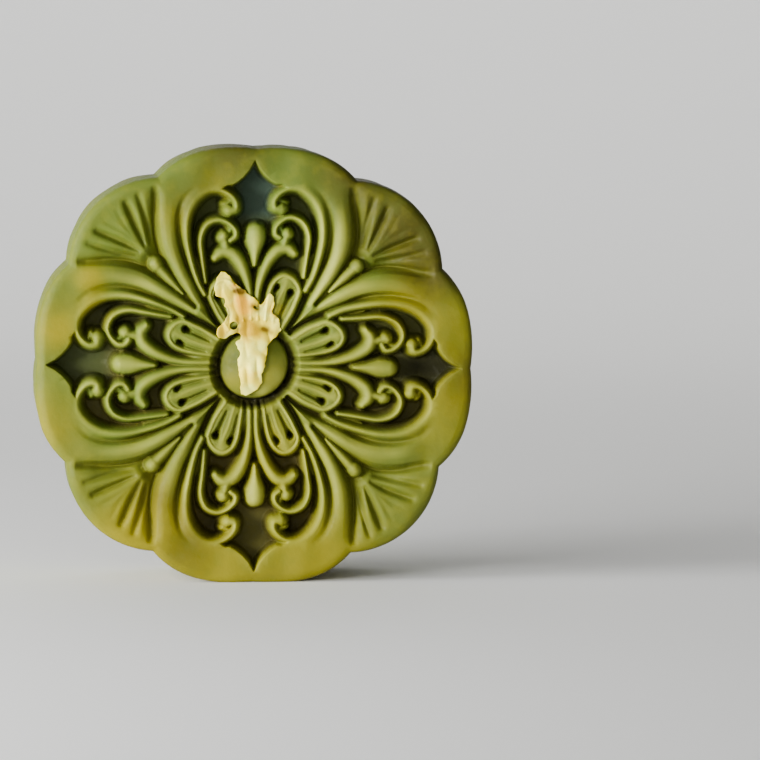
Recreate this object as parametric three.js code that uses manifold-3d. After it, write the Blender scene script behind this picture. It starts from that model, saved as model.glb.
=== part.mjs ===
import * as THREE from 'three';
import { mergeVertices } from 'three/addons/utils/BufferGeometryUtils.js';
import Module from 'manifold-3d';

// A pressed matcha mooncake that stands on its edge, patterned face towards -Y, with two bits of gold leaf.
// The pattern is four petals of scrollwork with fluted shells between them. It is modelled face up, with Z
// as the height and Y along the top petal, and the whole cake is turned upright at the end.

// Driving dimensions, in millimetres and degrees
const thickness = 24;
const face = thickness / 2;
const petalReach = 33.2;
const petalDent = 0.6;
const notchReach = 31.8;
const shellReach = 34;
const petalCrestAt = 15;
const notchAt = 28;
const shellCrestAt = 45;
const shoulder = 1.5;
const wallBulge = 0.3;
const wallTaper = 0.1;
const backFillet = 2.4;
const dishDepth = 1;
const dishInner = 6;
const dishOuter = 22;
const pocketFloor = 7.2;
const hubRiseDepth = 1.1;
const hubRiseInner = 8.6;
const hubRiseOuter = 12.6;
const hubRadius = 4.9;
const hubCrown = 0.4;
const hubDome = 2;
const domePower = 2.2;
const hubGrooveDepth = 3;
const hubGrooveFloorReach = 5.8;
const hubGrooveReach = 6.7;
const footDrop = 32.3;
const rollDegrees = 1;
// How wide each petal's scrollwork opened in the mould, and how many degrees it leans clockwise: top,
// right, bottom and left petal
const petalSpread = [1, 0.96, 1.02, 1.02];
const petalLean = [-0.8, 0.1, -0.5, -0.1];

// The height of the crests falls gently towards the hub, which leaves room for the gold leaf.
function crestHeight(radius) {
  const rise = THREE.MathUtils.smoothstep(radius, dishInner, dishOuter);
  return face - dishDepth * (1 - rise);
}

// The button at the hub is a low dome.
function buttonHeight(radius) {
  return crestHeight(0) + hubCrown - hubDome * (radius / hubRadius) ** domePower;
}

// The ridges of half a petal, with the petal pointing along +Y. Points are [across, along] from the hub,
// widths are half the ridge's width at shares from 0 to 1 along it, and drop is how far its crest lies
// below the highest crests there.
const ridges = {
  outerScroll: {
    points: [
      [7.5, 10.9], [8.6, 13], [9.6, 16.2], [10.1, 19], [10, 21.6], [9.4, 23.5], [8.3, 25.1],
      [6.7, 26.2], [5, 26.3], [3.6, 25.6], [2.8, 24.5], [2.9, 23.5], [3.8, 23.3],
    ],
    widths: [[0, 0.35], [0.25, 0.5], [0.5, 0.6], [0.7, 0.45], [0.85, 0.5], [0.95, 0.65], [1, 0.85]],
    drop: 0.05,
    steps: 13,
  },
  innerScroll: {
    points: [
      [7.3, 12.8], [7.7, 16], [8, 18.6], [7.6, 20.3], [6.7, 21.4], [5.3, 21.9], [4, 21.5],
      [3, 20.5], [2.9, 19.5], [3.6, 18.9],
    ],
    widths: [[0, 0.3], [0.3, 0.38], [0.75, 0.38], [1, 0.45]],
    drop: 0.55,
    steps: 9,
  },
  ballStem: { points: [[4.5, 19], [4.2, 17.6]], widths: [[0, 0.55], [1, 0.75]], drop: 0.55, steps: 1 },
  hookWeb: { points: [[3.6, 24.6], [4.5, 24.2]], widths: [[0, 0.5], [1, 0.4]], drop: 1, steps: 1 },
  curlWeb: { points: [[3.5, 20.7], [4, 19.6]], widths: [[0, 0.5], [1, 0.5]], drop: 1.2, steps: 1 },
  stemLeaf: {
    points: [
      [0.5, 5], [0.5, 9.4], [0.75, 11.6], [1.25, 13.5], [2.05, 15.4], [3.3, 16.9], [4.7, 17.2], [5.8, 16.4],
    ],
    widths: [[0, 0.45], [0.25, 0.5], [0.45, 0.65], [0.6, 0.8], [0.75, 0.85], [0.9, 0.75], [1, 0.5]],
    drop: 0.35,
    steps: 6,
  },
  loop: {
    points: [
      [1.4, 4.9], [1.95, 9], [2.5, 11.2], [3.35, 12.5], [4.6, 13], [5.9, 12.3],
      [6.6, 10.8], [5.9, 8.9], [5.1, 7.3], [3.3, 4.5],
    ],
    widths: [[0, 0.35], [0.35, 0.4], [0.5, 0.5], [0.65, 0.45], [1, 0.45]],
    drop: 0.35,
    steps: 10,
  },
};
const bud = {
  points: [[0, 15], [0, 16.8], [0, 18.8], [0, 20.3]],
  widths: [[0, 0.25], [0.35, 0.6], [0.7, 1.15], [0.9, 1.15], [1, 0.8]],
  drop: 0.3,
  steps: 5,
};
const scrollBall = { at: [4.65, 19.4], radius: 0.75, drop: 0.35 };
const shellKnob = { at: [15, 15], radius: 0.95, drop: 0.15 };
const shellStem = {
  points: [[10.9, 10.9], [14.3, 14.3]], widths: [[0, 0.2], [0.6, 0.7], [1, 0.75]], drop: 0.35, steps: 2,
};

// The grooves of half a petal and of half a shell
const petalEdge = {
  points: [
    [4.8, 5.2], [5.65, 6.4], [6.4, 7.6], [7.1, 9.1], [7.75, 10.6], [8.4, 12], [9.2, 13.5],
    [10.1, 15.1], [10.8, 17], [11.2, 18.8], [11.3, 20.9], [11, 23], [10.3, 24.8],
  ],
  widths: [[0, 0.65], [0.3, 0.75], [0.5, 0.7], [0.8, 0.75], [1, 0.8]],
  depths: [[0, 3], [0.3, 3.2], [0.6, 2.3], [0.85, 1.1], [1, 0.3]],
  steps: 8,
};
const shellEdge = {
  points: [
    [9, 9], [10.5, 10.7], [12, 12.6], [13.2, 14.7], [14.2, 16.8], [14.8, 19], [15, 22], [14.9, 24.4], [14.9, 26.6],
  ],
  widths: [[0, 0.4], [0.3, 0.6], [0.6, 0.75], [1, 0.9]],
  depths: [[0, 1.6], [0.25, 2], [0.45, 1.8], [0.8, 2], [0.92, 1.3], [1, 0.3]],
  steps: 6,
};
const flutes = [
  {
    points: [[15.9, 18], [16.2, 19.7], [16.8, 22.2], [17.6, 24.9]],
    widths: [[0, 0.4], [0.5, 0.65], [1, 0.65]],
    depths: [[0, 0.9], [0.4, 1.2], [0.8, 0.9], [1, 0.4]],
    steps: 2,
  },
  {
    points: [[16.8, 17.6], [17.6, 19.3], [18.6, 21.5], [19.5, 23.7]],
    widths: [[0, 0.4], [0.5, 0.75], [1, 0.7]],
    depths: [[0, 0.9], [0.35, 1.4], [0.8, 1.2], [1, 0.6]],
    steps: 2,
  },
];
const shellBed = {
  points: [[11.5, 11.5], [14.2, 14.2], [15.4, 15.4]],
  widths: [[0, 0.5], [0.6, 1.4], [1, 1.9]],
  depths: [[0, 0.5], [0.6, 1.1], [1, 1.3]],
  steps: 2,
};
// The shell dips behind its bud: half its width and its depth at distances from the hub
const shellDip = {
  from: 18.5,
  to: 29.5,
  widths: [[18.5, 0.6], [21.9, 1.9], [23.9, 3], [26.2, 5], [29.5, 8.4]],
  depths: [[18.5, 0.5], [24, 0.5], [29.5, 0.05]],
  edgeDepth: 0.8,
  edgeWidth: 2.2,
  leastFlat: 0.3,
  steps: 3,
};
// Each loop is filled to a little below its crest, but for two slits that deepen into holes at its head.
const loopFillHeight = 10.7;
const slits = [
  {
    points: [[2.1, 7.4], [3.35, 11.4]],
    widths: [[0, 0.35], [1, 0.7]],
    depths: [[0, 0.6], [1, 3.8]],
    steps: 1,
  },
  {
    points: [[3.7, 6.8], [5.45, 10.5]],
    widths: [[0, 0.35], [1, 0.75]],
    depths: [[0, 0.6], [1, 3.8]],
    steps: 1,
  },
];
const pocketTip = [[4, 27], [3.2, 27.1], [2.4, 27.6], [1.5, 28.4], [0.7, 29.4], [0, 30.7]];

// How the sections of ridges and grooves are drawn, as shares of their widths or in millimetres
const crestShare = 0.7;
const ridgeFlank = 0.7;
const curlSteepens = 0.7;
const ridgeFoot = pocketFloor - 0.5;
const grooveBottomShare = 0.3;
const grooveLipShare = 1.4;
const knobShare = 0.8;
const knobRounding = 0.2;
const clearance = 0.3;
const turnSides = 24;
const knobSides = 6;
const mergeWithin = 0.06;

// The torn edges of the two bits of gold leaf, as [x, y] from the hub
const leafSheet = 0.3;
const leafLift = 0.2;
const leafRipple = 0.08;
const petalLeafHeight = 11.5;
const hubLeafEdge = [
  [-2.4, 4.2], [-2.8, 3.4], [-2.2, 2], [-2.5, 0.5], [-2.2, -1.6], [-2, -4], [-1.2, -4.5], [0, -3.8],
  [1.1, -2.5], [1, -1.2], [1.5, 0.2], [1.8, 2], [2.2, 3.5], [1.4, 4.3],
];
const petalLeafEdge = [
  [-5.4, 14.1], [-4.2, 13.6], [-3.4, 12.5], [-2.4, 11.5], [-1.4, 10.9], [-0.5, 10.2], [0.3, 9.5],
  [0.9, 9.1], [1.4, 10], [2, 10.7], [2.5, 10], [2.5, 8.7], [2.5, 7.7], [3.4, 6.9], [3.7, 5.6], [3.3, 4.9],
  [1.6, 5], [-0.6, 5], [-2.9, 5], [-4.4, 4.2], [-5.6, 4.3], [-5.7, 5.4], [-5, 6.7], [-5, 8.5], [-5.2, 9.8],
  [-6.1, 10.3], [-6.4, 11.5], [-6.1, 13.1],
];

const wasm = await Module();
wasm.setup();

function curveThrough(points) {
  return new THREE.SplineCurve(points.map(([across, along]) => new THREE.Vector2(across, along)));
}

function signedVolume(vertices, triangles) {
  const corner = (index) => new THREE.Vector3().fromArray(vertices, 3 * index);
  let sum = 0;
  for (let i = 0; i < triangles.length; i += 3) {
    const [a, b, c] = [corner(triangles[i]), corner(triangles[i + 1]), corner(triangles[i + 2])];
    sum += a.dot(b.cross(c)) / 6;
  }
  return sum;
}

function solidOf(vertices, triangles) {
  const outward = [...triangles];
  if (signedVolume(vertices, triangles) < 0) {
    outward.reverse();
  }
  const mesh = new wasm.Mesh({
    numProp: 3,
    vertProperties: new Float32Array(vertices),
    triVerts: new Uint32Array(outward),
  });
  return new wasm.Manifold(mesh);
}

function solidFromGeometry(geometry) {
  geometry.deleteAttribute('normal');
  geometry.deleteAttribute('uv');
  const merged = mergeVertices(geometry, 1e-4);
  return solidOf([...merged.attributes.position.array], [...merged.index.array]);
}

// Rings of equal length joined into a closed solid, with a fan about the middle of each end
function loft(rings) {
  const count = rings[0].length;
  const vertices = rings.flat(2);
  const triangles = [];
  for (let i = 0; i + 1 < rings.length; i += 1) {
    for (let j = 0; j < count; j += 1) {
      const next = (j + 1) % count;
      const [a, b] = [i * count + j, i * count + next];
      triangles.push(a, b, b + count, a, b + count, a + count);
    }
  }
  const ends = [[rings[0], 0], [rings.at(-1), (rings.length - 1) * count]];
  ends.forEach(([ring, first], side) => {
    const middle = vertices.length / 3;
    for (let k = 0; k < 3; k += 1) {
      vertices.push(ring.reduce((sum, point) => sum + point[k], 0) / count);
    }
    for (let j = 0; j < count; j += 1) {
      const next = (j + 1) % count;
      const pair = side === 0 ? [first + next, first + j] : [first + j, first + next];
      triangles.push(middle, ...pair);
    }
  });
  return solidOf(vertices, triangles);
}

// A bar along a curve. sectionAt(t, radius) lists its cross-section as [sideways, height] points.
function sweep(points, steps, sectionAt) {
  const curve = curveThrough(points);
  const rings = [];
  for (let i = 0; i <= steps; i += 1) {
    const t = i / steps;
    const at = curve.getPoint(t);
    const ahead = curve.getTangent(t);
    const section = sectionAt(t, at.length());
    rings.push(section.map(([side, height]) => [at.x - ahead.y * side, at.y + ahead.x * side, height]));
  }
  return loft(rings);
}

function tableAt(table, at) {
  const next = Math.max(1, table.findIndex(([edge]) => edge >= at));
  const [[from, low], [to, high]] = [table[next - 1], table[next]];
  return THREE.MathUtils.mapLinear(at, from, to, low, high);
}

// A ridge stands on the pocket's floor and narrows to its crest. Its flanks are steeper where it curls.
function ridge({ points, widths, drop, steps }) {
  return sweep(points, steps, (t, radius) => {
    const width = tableAt(widths, t);
    const top = crestHeight(radius) - drop;
    const flank = ridgeFlank * (1 - curlSteepens * THREE.MathUtils.smoothstep(t, 0.7, 0.85));
    const [foot, crest] = [width + flank, width * crestShare];
    return [[-foot, ridgeFoot], [-crest, top], [crest, top], [foot, ridgeFoot]];
  });
}

// A groove has a narrow bottom and opens upwards.
function groove({ points, widths, depths, steps }) {
  return sweep(points, steps, (t, radius) => {
    const [width, deep, level] = [tableAt(widths, t), tableAt(depths, t), crestHeight(radius)];
    const bottom = width * grooveBottomShare;
    const open = width * grooveLipShare + ((width * grooveLipShare - bottom) * clearance) / deep;
    return [[-open, level + clearance], [-bottom, level - deep], [bottom, level - deep], [open, level + clearance]];
  });
}

function lathed(profile, segments) {
  const points = profile.map(([radius, height]) => new THREE.Vector2(radius, height));
  const geometry = new THREE.LatheGeometry(points, segments);
  geometry.rotateX(Math.PI / 2);
  return solidFromGeometry(geometry);
}

// An upright prism on an outline of [x, y] points
function prism(outline, bottom, top) {
  const shape = new THREE.Shape(outline.map(([x, y]) => new THREE.Vector2(x, y)));
  const geometry = new THREE.ExtrudeGeometry(shape, { depth: top - bottom, bevelEnabled: false });
  geometry.translate(0, 0, bottom);
  return solidFromGeometry(geometry);
}

// The outline: a dented petal end, a crease and a rounder shell in every eighth of the turn
function rimRadius(angle) {
  const quarter = Math.PI / 2;
  const fromPetal = Math.abs(angle - quarter * Math.round(angle / quarter));
  const degrees = THREE.MathUtils.radToDeg(fromPetal);
  if (degrees < petalCrestAt) {
    return petalReach - petalDent * ((petalCrestAt - degrees) / petalCrestAt) ** 2;
  }
  if (degrees < notchAt) {
    return petalReach - (petalReach - notchReach) * ((degrees - petalCrestAt) / (notchAt - petalCrestAt)) ** 2;
  }
  return shellReach - (shellReach - notchReach) * ((shellCrestAt - degrees) / (shellCrestAt - notchAt)) ** 2;
}

function rimAngles() {
  const [petalSteps, shellSteps] = [5, 3];
  const eighth = [];
  for (let i = 0; i < petalSteps; i += 1) {
    eighth.push((notchAt * i) / petalSteps);
  }
  for (let i = 0; i < shellSteps; i += 1) {
    eighth.push(notchAt + ((shellCrestAt - notchAt) * i) / shellSteps);
  }
  const quarter = [...eighth, shellCrestAt, ...eighth.slice(1).reverse().map((degrees) => 90 - degrees)];
  const turns = [0, 90, 180, 270];
  return turns.flatMap((start) => quarter.map((degrees) => THREE.MathUtils.degToRad(start + degrees)));
}

function makeBody() {
  const angles = rimAngles();
  const outline = (inset, height) => angles.map((angle) => {
    const radius = rimRadius(angle) - inset;
    return [radius * Math.cos(angle), radius * Math.sin(angle), height];
  });
  const rings = [];
  for (const turn of [0, 30, 60, 90]) {
    const [sin, cos] = [Math.sin((turn * Math.PI) / 180), Math.cos((turn * Math.PI) / 180)];
    rings.push(outline(wallBulge + shoulder * (1 - sin), face - shoulder * (1 - cos)));
  }
  rings.push(outline(0, 0), outline(wallTaper, -face / 2));
  for (const turn of [0, 45, 90]) {
    const [sin, cos] = [Math.sin((turn * Math.PI) / 180), Math.cos((turn * Math.PI) / 180)];
    rings.push(outline(wallBulge + backFillet * (1 - cos), -face + backFillet * (1 - sin)));
  }
  return loft(rings);
}

// The hollow of one petal, from its hub end along the outer scroll to the pointed tip. Its floor rises
// towards the hub.
function makePocket() {
  const scroll = curveThrough(ridges.outerScroll.points.slice(0, 9)).getPoints(8);
  const hubEnd = [3.1, 4.4];
  const side = [hubEnd, ...ridges.loop.points.slice(6).reverse(), ...scroll.map((at) => [at.x, at.y]), ...pocketTip];
  const mirrored = side.slice(0, -1).reverse().map(([across, along]) => [-across, along]);
  const hubFloor = crestHeight(0) - hubRiseDepth;
  const rise = lathed([
    [0, 0], [hubRiseOuter, 0], [hubRiseOuter, pocketFloor], [hubRiseInner, hubFloor], [0, hubFloor],
  ], turnSides);
  return prism([...side, ...mirrored], pocketFloor, face + 1).subtract(rise);
}

// The loop is filled nearly up to its crest.
function makeLoopFill() {
  const edge = curveThrough(ridges.loop.points).getPoints(ridges.loop.steps).map((at) => [at.x, at.y]);
  return prism(edge, ridgeFoot, loopFillHeight);
}

// A round knob stands on the pocket's floor like a ridge.
function makeKnob({ at, radius, drop }) {
  const top = crestHeight(Math.hypot(...at)) - drop;
  return lathed([
    [0, ridgeFoot], [radius + ridgeFlank, ridgeFoot], [radius * knobShare, top - knobRounding], [0, top],
  ], knobSides).translate([...at, 0]);
}

// The dip of a shell, deepest along its edges. It is swept outwards along the shell's own axis.
function makeShellDip() {
  const { from, to, widths, depths, edgeDepth, edgeWidth, leastFlat, steps } = shellDip;
  const axis = [from, to].map((distance) => [distance * Math.SQRT1_2, distance * Math.SQRT1_2]);
  return sweep(axis, steps, (t) => {
    const distance = THREE.MathUtils.lerp(from, to, t);
    const [width, deep] = [tableAt(widths, distance), tableAt(depths, distance)];
    const level = crestHeight(distance);
    const inner = Math.max(width - edgeWidth, width * leastFlat);
    const bottom = level - deep;
    const edge = bottom - edgeDepth * (deep / depths[0][1]);
    return [[-width, level + clearance], [-width, edge], [-inner, bottom], [inner, bottom], [width, edge],
      [width, level + clearance]];
  });
}

function mirroredPair(solid) {
  return [solid, solid.mirror([1, 0, 0])];
}

function acrossDiagonal(solid) {
  return [solid, solid.mirror([1, -1, 0])];
}

// The face is dished a little towards the hub.
function makeDish() {
  return lathed([
    [0, crestHeight(0)], [dishInner, crestHeight(0)], [dishOuter, face], [dishOuter, face + 1], [0, face + 1],
  ], turnSides);
}

// The hub is a domed button in a round recess.
function makeHub() {
  const floor = crestHeight(0) - hubGrooveDepth;
  const recess = lathed([
    [0, floor], [hubGrooveFloorReach, floor], [hubGrooveReach, crestHeight(0)], [hubGrooveReach, face + 1],
    [0, face + 1],
  ], turnSides);
  const domeShares = [1, 0.75, 0.45, 0];
  const dome = domeShares.map((share) => [share * hubRadius, buttonHeight(share * hubRadius)]);
  const button = lathed([[0, pocketFloor], [hubRadius, pocketFloor], ...dome], turnSides);
  return { recess, button };
}

function makeCake() {
  const petalCuts = [makePocket(), ...mirroredPair(groove(petalEdge))];
  const petalRidges = [
    ridge(bud), ...Object.values(ridges).flatMap((each) => mirroredPair(ridge(each))),
    ...mirroredPair(makeKnob(scrollBall)), ...mirroredPair(makeLoopFill()),
  ];
  const petalSlits = slits.flatMap((slit) => mirroredPair(groove(slit)));
  const shellCuts = [
    makeShellDip(), groove(shellBed), ...[shellEdge, ...flutes].flatMap((each) => acrossDiagonal(groove(each))),
  ];
  const shellLobes = [makeKnob(shellKnob), ridge(shellStem)];
  const hub = makeHub();
  const [cuts, raised, lateCuts] = [[makeDish()], [], [hub.recess]];
  petalSpread.forEach((spread, turn) => {
    const onPetal = (solid) => solid.scale([spread, 1, 1]).rotate([0, 0, -90 * turn - petalLean[turn]]);
    const onShell = (solid) => solid.rotate([0, 0, -90 * turn]);
    cuts.push(...petalCuts.map(onPetal), ...shellCuts.map(onShell));
    raised.push(...petalRidges.map(onPetal), ...shellLobes.map(onShell));
    lateCuts.push(...petalSlits.map(onPetal));
  });
  const { union } = wasm.Manifold;
  const carved = makeBody().subtract(union(cuts)).add(union(raised)).subtract(union(lateCuts));
  const groundReach = 50;
  const groundEdge = [
    [-groundReach, -footDrop], [groundReach, -footDrop], [groundReach, -groundReach], [-groundReach, -groundReach],
  ];
  const ground = prism(groundEdge, -groundReach, groundReach);
  return carved.add(hub.button).rotate([0, 0, -rollDegrees]).subtract(ground).simplify(mergeWithin);
}

// A thin rippled sheet: rings of points from its middle to its torn edge, the same above and below
function makeLeaf({ edge, centre, spokes, heightAt }) {
  const ringCount = 4;
  const outline = curveThrough([...edge, edge[0]]).getPoints(spokes).slice(0, spokes);
  const surface = (x, y) => heightAt(x, y) + leafRipple * Math.sin(1.5 * x + 0.4 * y) * Math.cos(1.2 * y - 0.5 * x);
  const ringAt = (share, offset) => outline.map((point) => {
    const x = THREE.MathUtils.lerp(centre[0], point.x, share);
    const y = THREE.MathUtils.lerp(centre[1], point.y, share);
    return [x, y, surface(x, y) + offset];
  });
  const shares = Array.from({ length: ringCount }, (_, i) => (i + 1) / ringCount);
  const lower = shares.map((share) => ringAt(share, 0));
  const upper = shares.map((share) => ringAt(share, leafSheet));
  return loft([...lower, ...upper.reverse()]);
}

function meshOf(solid, name, material) {
  const { vertProperties, triVerts } = solid.getMesh();
  const geometry = new THREE.BufferGeometry();
  geometry.setAttribute('position', new THREE.BufferAttribute(new Float32Array(vertProperties), 3));
  geometry.setIndex([...triVerts]);
  geometry.computeVertexNormals();
  const mesh = new THREE.Mesh(geometry, material);
  mesh.name = name;
  return mesh;
}

const dough = new THREE.MeshStandardMaterial({ color: 0x9a9a3c, roughness: 0.6, metalness: 0 });
const gold = new THREE.MeshStandardMaterial({ color: 0xf0cf86, roughness: 0.35, metalness: 0.6 });

const pieces = new THREE.Group();
const cakeMesh = meshOf(makeCake(), 'cake', dough);
pieces.add(cakeMesh);
// One bit of leaf follows the button down its lower side, and the other lies across the crests.
pieces.add(meshOf(makeLeaf({
  edge: hubLeafEdge, centre: [-0.5, 0], spokes: 28, heightAt: (x, y) => buttonHeight(Math.max(-y, 0)) + leafLift,
}), 'gold_leaf_hub', gold));
pieces.add(meshOf(makeLeaf({
  edge: petalLeafEdge, centre: [0, 7.3], spokes: 52, heightAt: () => petalLeafHeight,
}), 'gold_leaf_petal', gold));
pieces.rotation.x = Math.PI / 2;

const cake = new THREE.Group();
cake.add(pieces);
cake.updateMatrixWorld(true);
const box = new THREE.Box3().setFromObject(cakeMesh, true);
const middle = box.getCenter(new THREE.Vector3());
cake.position.set(-middle.x, -middle.y, -box.min.z);

export default cake;
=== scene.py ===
import math

import bpy
import numpy as np
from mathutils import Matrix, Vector


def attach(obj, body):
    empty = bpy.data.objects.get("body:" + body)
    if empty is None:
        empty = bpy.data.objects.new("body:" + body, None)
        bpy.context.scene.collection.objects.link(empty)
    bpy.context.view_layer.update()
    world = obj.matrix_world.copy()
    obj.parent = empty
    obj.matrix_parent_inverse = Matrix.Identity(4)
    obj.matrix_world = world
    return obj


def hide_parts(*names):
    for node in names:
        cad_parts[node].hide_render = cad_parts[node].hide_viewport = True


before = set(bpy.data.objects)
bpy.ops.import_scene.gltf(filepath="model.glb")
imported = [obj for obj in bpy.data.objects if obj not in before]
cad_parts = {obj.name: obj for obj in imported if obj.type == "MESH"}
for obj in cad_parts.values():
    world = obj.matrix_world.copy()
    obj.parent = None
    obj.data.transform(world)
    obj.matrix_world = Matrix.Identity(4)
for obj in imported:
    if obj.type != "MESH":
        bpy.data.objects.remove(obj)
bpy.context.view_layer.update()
print("frame loaded")

mm = 0.001  # lengths are in millimetres, and in metres where a comment says so

# The cake is worked out face up: x and y across the pattern, y along the top petal, z as the height.
cake = {
    "crest": 12.0,  # height of the highest crests above the middle of the thickness
    "dish": 1.0,  # how much lower the crests lie at the hub
    "dishSpan": (6, 22),  # radii over which the crests rise out of the dish
    "petalReach": 33.2,
    "petalDent": 0.6,  # how much less a petal reaches along its axis
    "petalCrestAt": 15.0,  # degrees from the petal's axis
    "notchReach": 31.8,
    "notchAt": 28.0,  # degrees from the petal's axis
    "shellReach": 34.0,
    "meanReach": 33.0,
    "shoulder": 1.5,  # rounding of the front edge
    "wallBulge": 0.3,
    "wallDent": 0.12,  # how far the wall lies back, to leave room for its lumps
    "backFillet": 2.4,  # rounding of the back edge
    "backDent": 0.2,
    "hubHeight": 32.3,  # hub above the foot
    "roll": 1.0,  # degrees that the cake is turned clockwise
    "faceLumps": 0.07,
    "faceDent": 0.14,  # how far the face lies back, to leave room for its lumps
    "wallLumps": 0.08,
    "backLumps": 0.12,
    "bend": 0.12,  # how far the pattern wanders sideways
    "ringPoints": 1408,
    "firstRing": 0.3,
    "ringSpacing": 0.15,
    "lobesFrom": 16,  # radius from which the rings take on the outline's lobes
    "triangles": 186000,
}
hub = {
    "radius": 4.9,
    "crown": 0.4,  # how far its middle stands above the dish
    "dome": 2.0,
    "domePower": 2.2,
    "grooveRadius": 5.35,
    "grooveDepth": 2.6,
    "grooveWidth": (0.6, 1.4),  # inwards and outwards
}
relief = {
    "ridgeReach": 3,  # distance from its line up to which a ridge is worked out
    "ridgeCrown": 0.65,  # how far a ridge falls from its line to its edge
    "ridgeBlend": 0.3,
    "flankSlope": 5,
    "floorDepth": 4.8,
    "hubFloorDepth": 1.1,
    "floorSpan": (8.0, 13.5),  # radii over which the floor falls from the hub's depth to its own
    "floorEdge": (-0.15, 0.6),  # distances inside its outline over which the floor falls
    "loopFill": 0.5,  # how far the filling of a loop lies below the crests
    "shellDip": 0.5,
    "shellEdgeDip": 1.2,  # more, under the petals' edges
    "shellEdgeSpan": (0.3, 2.8),  # distances from those edges over which it ends
    "shellInnerSpan": (14, 18),  # radii over which the shell's dip sets in
    "shellOuterSpan": (24, 30.5),  # and over which it ends
}


def smoothStep(low, high, value):
    share = np.clip((value - low) / (high - low), 0, 1)
    return share * share * (3 - 2 * share)


def smoothMax(a, b, blend):
    share = np.clip(0.5 + 0.5 * (a - b) / blend, 0, 1)
    return b * (1 - share) + a * share + blend * share * (1 - share)


def hump(share):
    return 0.5 * (1 + np.cos(np.pi * np.clip(share, 0, 1)))


def curveThrough(points, perSpan=8):
    # a uniform Catmull-Rom curve through given points
    p = np.array(points, float)
    line = []
    for i in range(len(p) - 1):
        before, after = p[max(i - 1, 0)], p[min(i + 2, len(p) - 1)]
        start, end = (p[i + 1] - before) / 2, (after - p[i]) / 2
        for t in np.arange(perSpan) / perSpan:
            cubic = (2 * p[i] - 2 * p[i + 1] + start + end) * t**3
            square = (3 * p[i + 1] - 3 * p[i] - 2 * start - end) * t**2
            line.append(cubic + square + start * t + p[i])
    line.append(p[-1])
    return np.array(line)


def nearestOn(curve, across, along, reach):
    # distance, place along the curve from 0 to 1, and side, for points within reach
    distance = np.full(across.shape, 99.0)
    place = np.zeros(across.shape)
    side = np.ones(across.shape)
    low, high = curve.min(0) - reach, curve.max(0) + reach
    near = (across > low[0]) & (across < high[0]) & (along > low[1]) & (along < high[1])
    x, y = across[near], along[near]
    best, bestPlace, bestSide = np.full(x.shape, 99.0), np.zeros(x.shape), np.ones(x.shape)
    count = len(curve) - 1
    for i in range(count):
        (ax, ay), (bx, by) = curve[i], curve[i + 1]
        dx, dy = bx - ax, by - ay
        t = np.clip(((x - ax) * dx + (y - ay) * dy) / (dx * dx + dy * dy), 0, 1)
        offX, offY = x - ax - t * dx, y - ay - t * dy
        d = np.hypot(offX, offY)
        closer = d < best
        best[closer] = d[closer]
        bestPlace[closer] = ((i + t) / count)[closer]
        bestSide[closer] = np.sign(dx * offY - dy * offX)[closer]
    distance[near], place[near], side[near] = best, bestPlace, bestSide
    return distance, place, side
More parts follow.
